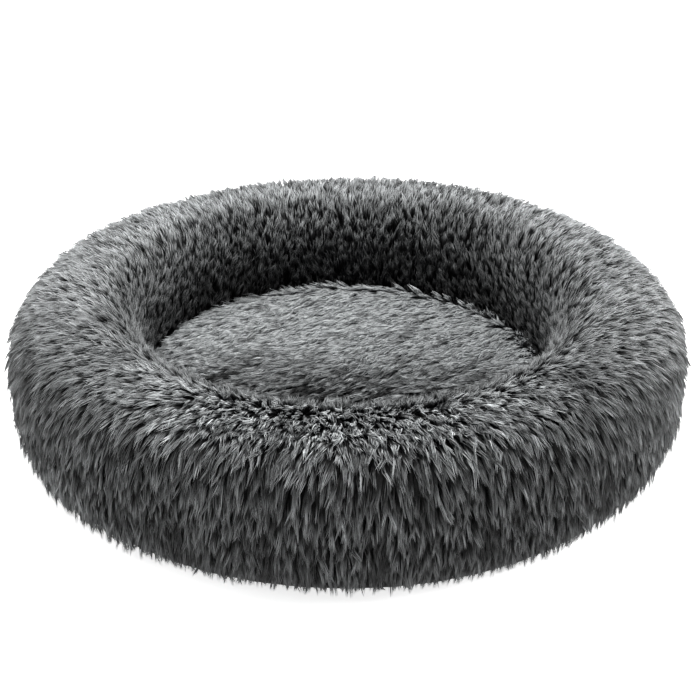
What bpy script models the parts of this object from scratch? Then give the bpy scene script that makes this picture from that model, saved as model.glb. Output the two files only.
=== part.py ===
"""Round pet cushion bed: a stuffed plush ring around a stuffed plush seat, on a woven base.

The frame's origin is the centre of the base on the floor, +Z is up, and everything is in
metres. The ring and the seat are turned shapes about Z. The zip runs along X across the
middle of the underside, which is lifted off the floor so that the zip never touches it.
"""

import math

import bmesh
import bpy
from mathutils import Matrix, Vector

# ---- driving dimensions ----------------------------------------------------------------

# The stuffed ring, as the firm surface under the loose tips of the pile
RING_OUTER_RADIUS = 0.344
RING_INNER_RADIUS = 0.2165
RING_CREST_RADIUS = 0.275
RING_HEIGHT = 0.147
RING_WIDEST_HEIGHT = 0.0765
RING_FOOT_HEIGHT = 0.0030
RING_TOP_SQUARENESS = 2.9
RING_BOTTOM_SQUARENESS = 3.1
RING_LEG_ANGLE = math.radians(66)

# Cloth thicknesses, the plush with the dense lower part of its pile
RING_PLUSH = 0.009
SEAT_PLUSH = 0.007
LINER = 0.0012
BASE_CLOTH = 0.0025
PLY_GAP = 0.0005

# The seat pad, again without the loose tips of its pile
SEAT_RADIUS = 0.2135
SEAT_EDGE_HEIGHT = 0.055
SEAT_CROWN = 0.006
SEAT_CORNER = 0.014
SEAT_FLOOR = 0.0165

# The base: a foot under the ring and a lifted middle with the zip across it
FOOT_OUTER_RADIUS = 0.317
FOOT_FLAT_INNER_RADIUS = 0.224
MIDDLE_RADIUS = 0.203
MIDDLE_LIFT = 0.011
MIDDLE_CLOTH = 0.0020
SEAM_GAP = 0.0003
BINDING_WIDTH = 0.0035
BINDING_HEIGHT = 0.0045

# The zip, a coil zip with 6 mm wide teeth
ZIP_LENGTH = 0.344
ZIP_SLOT_HALF = 0.006
ZIP_CHAIN_GAP = 0.0014
ZIP_CHAIN_HALF = 0.0032
ZIP_CHAIN_BOTTOM = 0.0088
ZIP_CHAIN_THICK = 0.0020
ZIP_TAPE_WIDTH = 0.0125
ZIP_TAPE_THICK = 0.0007
ZIP_TAPE_BOTTOM = 0.0100
ZIP_TAPE_TAIL = 0.012
STOP_LENGTH = 0.0030

# The slider and its pull
SLIDER_LENGTH = 0.011
SLIDER_HALF = 0.0048
SLIDER_PLATE = 0.0014
SLIDER_BOTTOM = 0.0070
SLIDER_FLANGE = 0.0011
SLIDER_NECK = 0.0008
SLIDER_X = ZIP_LENGTH / 2 - SLIDER_LENGTH / 2 - 0.006
BRIDGE_WIDTH = 0.0018
BRIDGE_POST = 0.0012
BRIDGE_HALF = 0.0046
BRIDGE_BOTTOM = 0.0036
BRIDGE_BAR = 0.0010
PULL_PIVOT_Z = 0.0054
PULL_ROD = 0.0005
PULL_THICK = 0.0010
PULL_EYE = 0.0058
PULL_LENGTH = 0.026
PULL_HALF = 0.0032
PULL_ARM_INNER = 0.0014
PULL_ARM_OUTER = 0.0026

# The blank care label, sewn in beside the zip
LABEL_SIZE = (0.034, 0.022)
LABEL_THICK = 0.0005
LABEL_CENTRE = (-0.085, 0.0285)

TURN_STEPS = 48
ARCH_STEPS = 16


# ---- helpers -----------------------------------------------------------------------------

def clear_scene():
    for obj in list(bpy.data.objects):
        bpy.data.objects.remove(obj, do_unlink=True)


def material(name, colour, roughness, metallic=0.0):
    made = bpy.data.materials.get(name)
    if made is None:
        made = bpy.data.materials.new(name)
        made.use_nodes = True
        shader = made.node_tree.nodes["Principled BSDF"]
        shader.inputs["Base Color"].default_value = (*colour, 1.0)
        shader.inputs["Roughness"].default_value = roughness
        shader.inputs["Metallic"].default_value = metallic
        made.diffuse_color = (*colour, 1.0)
    return made


def add_object(name, bm, look, smooth_angle=None):
    bmesh.ops.recalc_face_normals(bm, faces=bm.faces)
    mesh = bpy.data.meshes.new(name)
    bm.to_mesh(mesh)
    bm.free()
    if smooth_angle is not None:
        mesh.shade_smooth()
        mesh.set_sharp_from_angle(angle=smooth_angle)
    mesh.materials.append(look)
    obj = bpy.data.objects.new(name, mesh)
    bpy.context.scene.collection.objects.link(obj)
    return obj


def turned(name, profile, look):
    """Spin a closed outline of (radius, height) points once around Z."""
    bm = bmesh.new()
    verts = [bm.verts.new((radius, 0.0, height)) for radius, height in profile]
    edges = [bm.edges.new((verts[i - 1], verts[i])) for i in range(len(verts))]
    bmesh.ops.spin(bm, geom=verts + edges, axis=(0, 0, 1), cent=(0, 0, 0),
                   angle=math.tau, steps=TURN_STEPS, use_merge=True, use_duplicate=False)
    bmesh.ops.remove_doubles(bm, verts=bm.verts, dist=1e-6)
    inside = [edge for edge in bm.edges if not edge.link_faces]
    bmesh.ops.delete(bm, geom=inside, context="EDGES")
    return add_object(name, bm, look, math.radians(40))


def add_box(bm, low, high):
    size = Vector(high) - Vector(low)
    centre = (Vector(high) + Vector(low)) / 2
    place = Matrix.Translation(centre) @ Matrix.Diagonal((*size, 1.0))
    return bmesh.ops.create_cube(bm, size=1.0, matrix=place)["verts"]


def box_object(name, low, high, look):
    bm = bmesh.new()
    add_box(bm, low, high)
    return add_object(name, bm, look)


def round_edges(obj, width, segments=2):
    bevel = obj.modifiers.new("rounded_edges", "BEVEL")
    bevel.width = width
    bevel.segments = segments
    bevel.limit_method = "ANGLE"
    bevel.angle_limit = math.radians(30)
    bevel.affect = "EDGES"
    return bevel


def merge_with(obj, other, operation="UNION"):
    """Join or cut obj with another object, which then only guides the shape."""
    step = obj.modifiers.new(other.name, "BOOLEAN")
    step.operation = operation
    step.solver = "EXACT"
    step.object = other
    other.hide_render = True
    other.display_type = "WIRE"
    return step


# ---- outlines ------------------------------------------------------------------------------

def power(value, exponent):
    return math.copysign(abs(value) ** exponent, value)


def ring_point(angle):
    """A point of the ring's firm surface: 0 is the outer side, 90 degrees the crest."""
    out = math.cos(angle)
    up = math.sin(angle)
    square = RING_TOP_SQUARENESS if up >= 0 else RING_BOTTOM_SQUARENESS
    half = (RING_OUTER_RADIUS if out >= 0 else 2 * RING_CREST_RADIUS - RING_INNER_RADIUS)
    half -= RING_CREST_RADIUS
    rise = RING_HEIGHT - RING_WIDEST_HEIGHT
    drop = RING_WIDEST_HEIGHT - RING_FOOT_HEIGHT
    radius = RING_CREST_RADIUS + half * power(out, 2 / square)
    height = RING_WIDEST_HEIGHT + (rise if up >= 0 else drop) * power(up, 2 / square)
    return Vector((radius, height))


def ring_arch(depth):
    """The ring's outline this far under its surface, from the outer foot to the inner."""
    points = []
    span = math.pi + 2 * RING_LEG_ANGLE
    for step in range(ARCH_STEPS + 1):
        angle = -RING_LEG_ANGLE + span * step / ARCH_STEPS
        ahead = ring_point(angle + 0.01) - ring_point(angle - 0.01)
        inward = Vector((-ahead.y, ahead.x)).normalized()
        points.append(ring_point(angle) + inward * depth)
    lowest = RING_FOOT_HEIGHT + 0.0005
    return [(point.x, max(point.y, lowest)) for point in points]


def seat_outline(depth):
    """The seat pad's outline this far under its surface, from the middle to the skirt."""
    radius = SEAT_RADIUS - depth
    edge_top = SEAT_EDGE_HEIGHT - depth
    corner = max(SEAT_CORNER - depth, 0.002)
    points = []
    for step in range(5):
        reach = (radius - corner) * step / 4
        crown = SEAT_CROWN * (1 - (reach / radius) ** 2)
        points.append((reach, edge_top + crown))
    drop = points[-1][1] - corner
    for step in range(1, 5):
        angle = math.radians(90 - 22.5 * step)
        points.append((radius - corner + corner * math.cos(angle),
                       drop + corner * math.sin(angle)))
    return points


# ---- the ring ----------------------------------------------------------------------------------

def make_ring(plush, liner_cloth, fibre):
    cover_inside = RING_PLUSH
    liner_outside = cover_inside + PLY_GAP
    liner_inside = liner_outside + LINER
    filling_outside = liner_inside + PLY_GAP
    turned("rim_cover", ring_arch(0.0) + ring_arch(cover_inside)[::-1], plush)
    turned("rim_liner", ring_arch(liner_outside) + ring_arch(liner_inside)[::-1], liner_cloth)
    turned("rim_filling", ring_arch(filling_outside), fibre)


# ---- the seat ----------------------------------------------------------------------------------

def make_seat(plush, liner_cloth, fibre):
    def cap(name, outside, inside, look):
        outer = seat_outline(outside)
        inner = seat_outline(inside)
        foot = [(outer[-1][0], SEAT_FLOOR), (inner[-1][0], SEAT_FLOOR)]
        turned(name, outer + foot + inner[::-1], look)

    liner_outside = SEAT_PLUSH + PLY_GAP
    liner_inside = liner_outside + LINER
    cap("seat_cover", 0.0, SEAT_PLUSH, plush)
    cap("seat_liner", liner_outside, liner_inside, liner_cloth)
    pad = seat_outline(liner_inside + PLY_GAP)
    turned("seat_filling", pad + [(pad[-1][0], SEAT_FLOOR), (0.0, SEAT_FLOOR)], fibre)


# ---- the base ----------------------------------------------------------------------------------

def make_foot_panel(cloth):
    lift = MIDDLE_LIFT
    thick = BASE_CLOTH
    profile = [
        (FOOT_OUTER_RADIUS, 0.0),
        (FOOT_OUTER_RADIUS, thick),
        (FOOT_FLAT_INNER_RADIUS + thick / 2, thick),
        (MIDDLE_RADIUS, lift + thick),
        (MIDDLE_RADIUS, lift),
        (FOOT_FLAT_INNER_RADIUS, 0.0),
    ]
    turned("foot_panel", profile, cloth)


def make_hem_binding(tape):
    inner = FOOT_OUTER_RADIUS + SEAM_GAP
    outer = inner + BINDING_WIDTH
    low = 0.0004
    corner = 0.0012
    profile = [
        (inner, low),
        (outer - corner, low),
        (outer, low + corner),
        (outer, low + BINDING_HEIGHT - corner),
        (outer - corner, low + BINDING_HEIGHT),
        (inner, low + BINDING_HEIGHT),
    ]
    turned("hem_binding", profile, tape)


def make_middle_panel(name, side, cloth):
    """Half of the lifted middle, cut back along the zip and seamed beyond its ends."""
    bm = bmesh.new()
    bmesh.ops.create_circle(bm, cap_ends=True, segments=TURN_STEPS,
                            radius=MIDDLE_RADIUS - 1.5 * SEAM_GAP)
    bmesh.ops.bisect_plane(bm, geom=bm.verts[:] + bm.edges[:] + bm.faces[:],
                           plane_co=(0, side * SEAM_GAP / 2, 0), plane_no=(0, side, 0),
                           clear_inner=True)
    grown = bmesh.ops.extrude_face_region(bm, geom=bm.faces[:])
    moved = [item for item in grown["geom"] if isinstance(item, bmesh.types.BMVert)]
    bmesh.ops.translate(bm, verts=moved, vec=(0, 0, MIDDLE_CLOTH))
    bmesh.ops.translate(bm, verts=bm.verts, vec=(0, 0, MIDDLE_LIFT))
    panel = add_object(name, bm, cloth)
    half = ZIP_LENGTH / 2 + STOP_LENGTH + 0.001
    slot = box_object(name + "_slot", (-half, -ZIP_SLOT_HALF, 0),
                      (half, ZIP_SLOT_HALF, 2 * MIDDLE_LIFT), cloth)
    merge_with(panel, slot, "DIFFERENCE")
    return panel


def make_label(satin):
    length, width = LABEL_SIZE
    x, y = LABEL_CENTRE
    top = MIDDLE_LIFT - SEAM_GAP
    label = box_object("care_label", (x - length / 2, y - width / 2, top - LABEL_THICK),
                       (x + length / 2, y + width / 2, top), satin)
    return label


# ---- the zip -----------------------------------------------------------------------------------

def make_zip_side(name, side, tape_look, coil_look):
    half = ZIP_LENGTH / 2
    tape_inner = ZIP_CHAIN_HALF + SEAM_GAP
    tape_reach = half + ZIP_TAPE_TAIL
    spans = {
        "zip_tape_" + name: (tape_reach, tape_inner, tape_inner + ZIP_TAPE_WIDTH,
                             ZIP_TAPE_BOTTOM, ZIP_TAPE_THICK, tape_look),
        "zip_coil_" + name: (half, ZIP_CHAIN_GAP / 2, ZIP_CHAIN_HALF,
                             ZIP_CHAIN_BOTTOM, ZIP_CHAIN_THICK, coil_look),
    }
    for node, (reach, near, far, bottom, thick, look) in spans.items():
        y_low, y_high = sorted((side * near, side * far))
        box_object(node, (-reach, y_low, bottom), (reach, y_high, bottom + thick), look)


def make_stops(metal):
    half = ZIP_LENGTH / 2 + SEAM_GAP
    low = ZIP_CHAIN_BOTTOM - 0.0002
    high = ZIP_CHAIN_BOTTOM + ZIP_CHAIN_THICK
    for name, side in (("front", -1), ("back", 1)):
        y_low, y_high = sorted((side * ZIP_CHAIN_GAP / 2, side * ZIP_CHAIN_HALF))
        stop = box_object("zip_top_stop_" + name, (half, y_low, low),
                          (half + STOP_LENGTH, y_high, high), metal)
        round_edges(stop, 0.0004)
    stop = box_object("zip_bottom_stop", (-half - STOP_LENGTH, -ZIP_CHAIN_HALF, low),
                      (-half, ZIP_CHAIN_HALF, high), metal)
    round_edges(stop, 0.0004)


def make_slider(metal):
    """Two plates around the chain, a neck between its halves, and a bridge for the pull."""
    half = SLIDER_LENGTH / 2
    plate_top = SLIDER_BOTTOM + SLIDER_PLATE
    flange_top = ZIP_TAPE_BOTTOM - 0.0004
    upper_low = ZIP_TAPE_BOTTOM + ZIP_TAPE_THICK + 0.0004
    upper_high = upper_low + SLIDER_PLATE
    weld = 0.0001
    bottom = box_object("zip_slider", (-half, -SLIDER_HALF, SLIDER_BOTTOM),
                        (half, SLIDER_HALF, plate_top), metal)
    pieces = {
        "slider_upper_plate": ((-half, -SLIDER_HALF, upper_low),
                               (half, SLIDER_HALF, upper_high)),
        "slider_neck": ((-half * 0.5, -SLIDER_NECK / 2, plate_top - weld),
                        (half * 0.5, SLIDER_NECK / 2, upper_low + weld)),
        "slider_bridge": ((-BRIDGE_HALF, -BRIDGE_WIDTH / 2, BRIDGE_BOTTOM),
                          (BRIDGE_HALF, BRIDGE_WIDTH / 2, SLIDER_BOTTOM + weld)),
    }
    for side in (-1, 1):
        y_low, y_high = sorted((side * (SLIDER_HALF - SLIDER_FLANGE), side * SLIDER_HALF))
        pieces[f"slider_flange_{side}"] = ((-half, y_low, plate_top - weld),
                                           (half, y_high, flange_top))
    guides = []
    for name, (low, high) in pieces.items():
        guide = box_object(name, low, high, metal)
        merge_with(bottom, guide)
        guides.append(guide)
    window = box_object("slider_window",
                        (-BRIDGE_HALF + BRIDGE_POST, -BRIDGE_WIDTH, BRIDGE_BOTTOM + BRIDGE_BAR),
                        (BRIDGE_HALF - BRIDGE_POST, BRIDGE_WIDTH, SLIDER_BOTTOM), metal)
    merge_with(bottom, window, "DIFFERENCE")
    bottom.location.x = SLIDER_X
    for guide in guides + [window]:
        guide.location.x = SLIDER_X
    return bottom


def make_pull(metal):
    """The pull, with its origin on the rod that it swings on."""
    thick = PULL_THICK / 2
    weld = 0.0001
    reach = PULL_ARM_OUTER
    tab = box_object("zip_pull", (-PULL_LENGTH, -PULL_HALF, -thick),
                     (-PULL_EYE, PULL_HALF, thick), metal)
    rod = box_object("pull_rod", (-PULL_ROD, -reach, -PULL_ROD),
                     (PULL_ROD, reach, PULL_ROD), metal)
    merge_with(tab, rod)
    guides = [rod]
    for side in (-1, 1):
        y_low, y_high = sorted((side * PULL_ARM_INNER, side * PULL_ARM_OUTER))
        arm = box_object(f"pull_arm_{side}", (-PULL_EYE - weld, y_low, -thick),
                         (PULL_ROD, y_high, thick), metal)
        merge_with(tab, arm)
        guides.append(arm)
    for guide in [tab] + guides:
        guide.location = (SLIDER_X, 0.0, PULL_PIVOT_Z)
    return tab


# ---- the whole bed -----------------------------------------------------------------------------

def main():
    clear_scene()
    rim_plush = material("rim_plush", (0.16, 0.165, 0.168), 0.95)
    seat_plush = material("seat_plush", (0.24, 0.245, 0.248), 0.95)
    liner_cloth = material("liner_cloth", (0.72, 0.72, 0.70), 0.9)
    fibre = material("fibre_filling", (0.86, 0.86, 0.84), 1.0)
    base_cloth = material("base_cloth", (0.055, 0.056, 0.06), 0.85)
    binding_tape = material("binding_tape", (0.03, 0.03, 0.032), 0.85)
    satin = material("label_satin", (0.8, 0.8, 0.78), 0.6)
    zip_tape = material("zip_tape", (0.04, 0.04, 0.042), 0.9)
    zip_coil = material("zip_coil", (0.05, 0.05, 0.052), 0.45)
    zip_metal = material("zip_metal", (0.10, 0.10, 0.105), 0.4, 0.8)

    make_ring(rim_plush, liner_cloth, fibre)
    make_seat(seat_plush, liner_cloth, fibre)
    make_foot_panel(base_cloth)
    make_hem_binding(binding_tape)
    for name, side in (("front", -1), ("back", 1)):
        make_middle_panel("middle_panel_" + name, side, base_cloth)
        make_zip_side(name, side, zip_tape, zip_coil)
    make_label(satin)
    make_stops(zip_metal)
    make_slider(zip_metal)
    make_pull(zip_metal)


main()
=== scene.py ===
# %% [markdown]
# # A shaggy ring bed for a pet
# The real bed is a fat stuffed ring around a stuffed seat. Both are covered in a long
# plush: a knitted backing with locks of fibre 25 to 30 mm long. Underneath is a woven base
# with small grip dots and a zip, so that the cover comes off for washing.
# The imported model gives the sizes, so this script starts from it and adds what the eye
# sees: the pile, the cloth, the stitches and the zip.

# %% Load the frame
import math

import bmesh
import bpy
import numpy as np
from mathutils import Matrix, Vector


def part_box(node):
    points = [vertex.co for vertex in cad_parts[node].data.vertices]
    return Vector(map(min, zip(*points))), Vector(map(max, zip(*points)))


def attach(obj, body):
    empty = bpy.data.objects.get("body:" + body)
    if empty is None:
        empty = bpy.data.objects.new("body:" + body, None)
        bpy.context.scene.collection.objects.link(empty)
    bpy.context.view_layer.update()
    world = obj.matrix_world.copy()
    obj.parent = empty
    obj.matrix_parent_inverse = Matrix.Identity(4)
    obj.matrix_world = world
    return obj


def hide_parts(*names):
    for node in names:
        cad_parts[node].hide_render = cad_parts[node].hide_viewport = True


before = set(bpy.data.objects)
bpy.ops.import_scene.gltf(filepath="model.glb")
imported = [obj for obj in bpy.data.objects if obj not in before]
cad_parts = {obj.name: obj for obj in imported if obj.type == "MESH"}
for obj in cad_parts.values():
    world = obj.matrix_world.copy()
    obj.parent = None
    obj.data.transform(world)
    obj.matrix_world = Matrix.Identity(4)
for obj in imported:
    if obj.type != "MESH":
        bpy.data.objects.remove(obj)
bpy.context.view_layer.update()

# %% Read the bed's sizes from the frame
_, ring_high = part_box("rim_cover")
seat_low, seat_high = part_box("seat_cover")
RING_OUTER = ring_high.x
RING_HEIGHT = ring_high.z
SEAT_TOP = seat_high.z
print("ring reaches", round(RING_OUTER, 4), "and is", round(RING_HEIGHT, 4), "high")

# %% [markdown]
# ## Camera, light and floor
# A bed this low is best seen from nearly two metres away with a longish lens, looking
# down a little under thirty degrees, so that the nest inside the ring shows. The light is
# a large soft panel above and behind the bed, with a weaker panel on either side. The
# room fills the shadows a little, and looks white where the camera sees past the floor.

# %% Camera
CAMERA_RISE = math.radians(27.56)
CAMERA_DISTANCE = 1.82
CAMERA_LENS = 89.36
AIM = Vector((0.003, 0.0, 0.0774))


def add_camera():
    data = bpy.data.cameras.new("camera")
    data.lens = CAMERA_LENS
    data.sensor_width = 36.0
    camera = bpy.data.objects.new("camera", data)
    bpy.context.scene.collection.objects.link(camera)
    back = Vector((0, -math.cos(CAMERA_RISE), math.sin(CAMERA_RISE)))
    camera.location = AIM + back * CAMERA_DISTANCE
    camera.rotation_euler = (-back).to_track_quat("-Z", "Y").to_euler()
    bpy.context.scene.camera = camera
    return camera


add_camera()

# %% Lights, room and floor


def add_panel(name, place, target, size, power):
    data = bpy.data.lights.new(name, "AREA")
    data.shape = "RECTANGLE"
    data.size, data.size_y = size
    data.energy = power
    lamp = bpy.data.objects.new(name, data)
    bpy.context.scene.collection.objects.link(lamp)
    lamp.location = place
    aim = Vector(target) - Vector(place)
    lamp.rotation_euler = aim.to_track_quat("-Z", "Y").to_euler()
    return lamp


add_panel("top_panel", (-0.2, 0.5, 2.1), (0, 0, 0.05), (1.6, 1.3), 112.0)
add_panel("left_panel", (-2.4, 0.2, 0.9), (0, 0, 0.05), (1.4, 1.2), 32.0)
add_panel("right_panel", (2.4, 0.2, 0.8), (0, 0, 0.05), (1.4, 1.2), 92.0)

ROOM_LIGHT = 0.22


def add_room():
    world = bpy.data.worlds.new("studio")
    world.use_nodes = True
    nodes, links = world.node_tree.nodes, world.node_tree.links
    backdrop = nodes["Background"]
    backdrop.inputs["Color"].default_value = (1, 1, 1, 1)
    backdrop.inputs["Strength"].default_value = 1.0
    room = nodes.new("ShaderNodeBackground")
    room.inputs["Color"].default_value = (1, 1, 1, 1)
    room.inputs["Strength"].default_value = ROOM_LIGHT
    rays = nodes.new("ShaderNodeLightPath")
    either = nodes.new("ShaderNodeMixShader")
    links.new(rays.outputs["Is Camera Ray"], either.inputs[0])
    links.new(room.outputs[0], either.inputs[1])
    links.new(backdrop.outputs[0], either.inputs[2])
    links.new(either.outputs[0], nodes["World Output"].inputs["Surface"])
    bpy.context.scene.world = world
    bpy.context.scene.view_settings.view_transform = "Standard"


add_room()


# %% [markdown]
# ## Shader helpers
# A small class wraps a node socket, so that shader maths reads as plain arithmetic.

# %% Shader helpers


class Value:
    """A number that varies over a surface: wraps a socket, and adds Math nodes."""

    def __init__(self, look, socket):
        self.look = look
        self.socket = socket

    def _math(self, operation, first, second=0.0):
        return self.look.node("ShaderNodeMath", {"operation": operation},
                              {0: first, 1: second})

    def __add__(self, other):
        return self._math("ADD", self, other)

    __radd__ = __add__

    def __mul__(self, other):
        return self._math("MULTIPLY", self, other)

    __rmul__ = __mul__

    def __rsub__(self, other):
        return self._math("SUBTRACT", other, self)

    def sin(self):
        return self._math("SINE", self)


class Look:
    """One material under construction."""

    def __init__(self, name):
        self.material = bpy.data.materials.new(name)
        self.material.use_nodes = True
        self.tree = self.material.node_tree
        self.shader = self.tree.nodes["Principled BSDF"]

    def node(self, kind, settings=None, inputs=None, output=0):
        made = self.tree.nodes.new(kind)
        for key, value in (settings or {}).items():
            if key == "stops":
                self._set_stops(made.color_ramp, value)
            else:
                setattr(made, key, value)
        for key, value in (inputs or {}).items():
            self.feed(made.inputs[key], value)
        return Value(self, made.outputs[output])

    @staticmethod
    def _set_stops(ramp, stops):
        while len(ramp.elements) < len(stops):
            ramp.elements.new(0.5)
        for element, (place, colour) in zip(ramp.elements, stops):
            element.position = place
            element.color = (*colour, 1.0)

    def feed(self, socket, value):
        if isinstance(value, Value):
            self.tree.links.new(value.socket, socket)
        else:
            socket.default_value = value

    def set(self, **values):
        for key, value in values.items():
            self.feed(self.shader.inputs[key.replace("_", " ")], value)

    def attribute(self, name):
        return self.node("ShaderNodeAttribute", {"attribute_name": name}, output="Fac")

    def place(self):
        return self.node("ShaderNodeTexCoord", output="Object")

    def noise(self, scale, detail=3.0, roughness=0.5, vector=None):
        return self.node("ShaderNodeTexNoise", {},
                         {"Vector": vector or self.place(), "Scale": scale,
                          "Detail": detail, "Roughness": roughness})

    def ramp(self, factor, stops):
        return self.node("ShaderNodeValToRGB", {"stops": stops}, {"Fac": factor})

    def scaled(self, colour, factor):
        return self.node("ShaderNodeVectorMath", {"operation": "SCALE"},
                         {0: colour, "Scale": factor})

    def axes(self):
        """The three Object coordinates, each as a number."""
        split = self.tree.nodes.new("ShaderNodeSeparateXYZ")
        self.feed(split.inputs[0], self.place())
        return [Value(self, split.outputs[axis]) for axis in range(3)]

    def bump(self, height, strength, distance):
        return self.node("ShaderNodeBump", {},
                         {"Height": height, "Strength": strength, "Distance": distance})


def tint(level):
    """The plush's grey, a touch cool."""
    return (level * 0.965, level * 1.0, level * 1.01)


# %% Floor
FLOOR_HALF = 14.0


def finished(bm, name, smooth=False):
    """Close a bmesh and hand over its mesh."""
    for face in bm.faces:
        face.smooth = smooth
    mesh = bpy.data.meshes.new(name)
    bm.to_mesh(mesh)
    bm.free()
    return mesh


def add_floor():
    bm = bmesh.new()
    bmesh.ops.create_grid(bm, x_segments=1, y_segments=1, size=FLOOR_HALF)
    mesh = finished(bm, "floor")
    look = Look("floor_white")
    look.set(Base_Color=(0.93, 0.93, 0.93, 1.0), Roughness=0.9)
    look.set(Emission_Color=(1.0, 1.0, 1.0, 1.0), Emission_Strength=0.78)
    mesh.materials.append(look.material)
    floor = bpy.data.objects.new("floor", mesh)
    bpy.context.scene.collection.objects.link(floor)
    return floor


add_floor()

# %% [markdown]
# ## The stuffed ring's firm surface
# Under the loose tips of the pile the ring is a firm, nearly square-shouldered tube. Its
# outline is four quarters of a rounded square joined at the crest and at the widest
# height. Slow waves around the ring stand for fibre that never packs quite evenly.

# %% The ring's outline
RING_CREST = 0.275
RING_INNER = 0.2165
RING_WIDEST = 0.0765
RING_FOOT = 0.003
TOP_SQUARENESS = 2.9
BOTTOM_SQUARENESS = 3.1


def swell(around):
    """How much fuller than average the ring is at this bearing."""
    return (1 + 0.020 * np.sin(2 * around + 0.4) + 0.014 * np.sin(5 * around + 2.0)
            + 0.010 * np.sin(9 * around + 4.0))


def signed_power(value, exponent):
    return np.sign(value) * np.abs(value) ** exponent


def ring_outline(turn, around):
    """Radius and height at this turn: 0 is the outer side, a quarter turn the crest."""
    out, up = np.cos(turn), np.sin(turn)
    fuller = swell(around)
    square = np.where(up >= 0, TOP_SQUARENESS, BOTTOM_SQUARENESS)
    half = np.where(out >= 0, RING_OUTER - RING_CREST, RING_CREST - RING_INNER)
    rise = np.where(up >= 0, (RING_HEIGHT - RING_WIDEST) * (0.75 + 0.25 * fuller),
                    RING_WIDEST - RING_FOOT)
    radius = RING_CREST + half * fuller * signed_power(out, 2 / square)
    height = RING_WIDEST + rise * signed_power(up, 2 / square)
    return radius, height


def ring_surface(turn, around, depth):
    """Places, outward normals and pile flow on the ring, this far under its surface."""
    step = 0.012
    radius, height = ring_outline(turn, around)
    ahead_r, ahead_z = ring_outline(turn + step, around)
    behind_r, behind_z = ring_outline(turn - step, around)
    along_r, along_z = ahead_r - behind_r, ahead_z - behind_z
    length = np.hypot(along_r, along_z)
    along_r, along_z = along_r / length, along_z / length
    radius = radius - along_z * depth
    height = height + along_r * depth
    cos, sin = np.cos(around), np.sin(around)
    place = np.stack([radius * cos, radius * sin, height], -1)
    normal = np.stack([along_z * cos, along_z * sin, -along_r], -1)
    flow = np.stack([-along_r * cos, -along_r * sin, -along_z], -1)
    return place, normal, flow


# %% [markdown]
# ## The template strand
# Real plush has millions of fibres, but they cling together in fine pointed strands, and
# several strands make a lock. One strand is modelled: a slim three-sided cone whose sides are
# cut once so that it can bend. Every strand on the bed is a bent copy of it, so it has
# only ten triangles.

# %% Model one strand
STRAND_BEND_AT = 0.60
STRAND_WAIST = 0.86


def model_strand():
    bm = bmesh.new()
    bmesh.ops.create_cone(bm, cap_ends=True, cap_tris=False, segments=3,
                          radius1=0.5, radius2=0.0, depth=1.0)
    bmesh.ops.translate(bm, verts=bm.verts, vec=(0, 0, 0.5))
    bmesh.ops.remove_doubles(bm, verts=bm.verts, dist=1e-5)
    bmesh.ops.bisect_plane(bm, geom=bm.verts[:] + bm.edges[:] + bm.faces[:],
                           plane_co=(0, 0, STRAND_BEND_AT), plane_no=(0, 0, 1))
    for vert in bm.verts:
        if abs(vert.co.z - STRAND_BEND_AT) < 1e-3:
            fatter = STRAND_WAIST / (1 - STRAND_BEND_AT)
            vert.co.x *= fatter
            vert.co.y *= fatter
    bmesh.ops.recalc_face_normals(bm, faces=bm.faces)
    bm.verts.index_update()
    points = np.array([v.co[:] for v in bm.verts])
    faces = [[v.index for v in f.verts] for f in bm.faces]
    bm.free()
    return points, faces


STRAND_POINTS, STRAND_FACES = model_strand()
STRAND_LEVELS = np.unique(STRAND_POINTS[:, 2].round(4))
STRAND_TRIANGLES = sum(len(face) - 2 for face in STRAND_FACES)
print("strand:", len(STRAND_POINTS), "points,", STRAND_TRIANGLES, "triangles,",
      "levels", STRAND_LEVELS)

# %% [markdown]
# ## Bending and planting the strands
# Each strand starts at a root on the backing, leans away from it along the nap and bends
# as it grows. The strands of one lock draw together towards its tip. numpy bends all
# copies at once, which takes seconds where an operator for each would take hours.

# %% Bend copies of the strand


def unit(vectors):
    return vectors / np.linalg.norm(vectors, axis=-1, keepdims=True)


def spines(root, lean, bend, length, levels):
    """Points and directions along every strand: a straight start and a steady bend."""
    s = levels[None, :, None]
    size = length[:, None, None]
    points = root[:, None] + size * (s * lean[:, None] + s * s * bend[:, None])
    heading = unit(lean[:, None] + 2 * s * bend[:, None])
    return points, heading


def leaning(normal, flow, lift, sway):
    """The direction a strand starts in: lifted off the backing and swayed off the nap."""
    side = np.cross(normal, flow)
    nap = np.cos(sway)[:, None] * flow + np.sin(sway)[:, None] * side
    return np.sin(lift)[:, None] * normal + np.cos(lift)[:, None] * nap


def grow(locks, strands, clump):
    """Vertices of every strand, drawn towards the spine of its own lock."""
    own, heading = spines(strands["root"], strands["lean"], strands["bend"],
                          strands["length"], STRAND_LEVELS)
    lock, _ = spines(locks["root"], locks["lean"], locks["bend"],
                     locks["length"], STRAND_LEVELS)
    pull = (clump * strands["cling"])[:, None, None] * STRAND_LEVELS[None, :, None] ** 0.75
    spine = own * (1 - pull) + lock[strands["lock"]] * pull
    spine[:, 1:] += strands["waver"]
    level = np.searchsorted(STRAND_LEVELS, STRAND_POINTS[:, 2].round(4) - 1e-6)
    spine, heading = spine[:, level], heading[:, level]
    across = unit(np.cross(heading, strands["normal"][:, None]))
    upward = np.cross(across, heading)
    width = strands["width"][:, None, None]
    return (spine + across * STRAND_POINTS[None, :, :1] * width
            + upward * STRAND_POINTS[None, :, 1:2] * width * 0.8), spine


# %% [markdown]
# ## One mesh from many strands
# The copies become one mesh, because thousands of objects would be slow to handle. Every
# strand gets a small cell of its own in a UV map named OFBake, so that colours baked into
# this map stay with their strand; an automatic unwrap would smear one strand's colour over
# its neighbours. The export bakes the colours into a map of this name, and a map that it
# made by itself would smear one strand's shading over its neighbours.

# %% Make a mesh of strands
PILE_MAP = "OFBake"
CELL_MARGIN = 0.12


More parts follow.
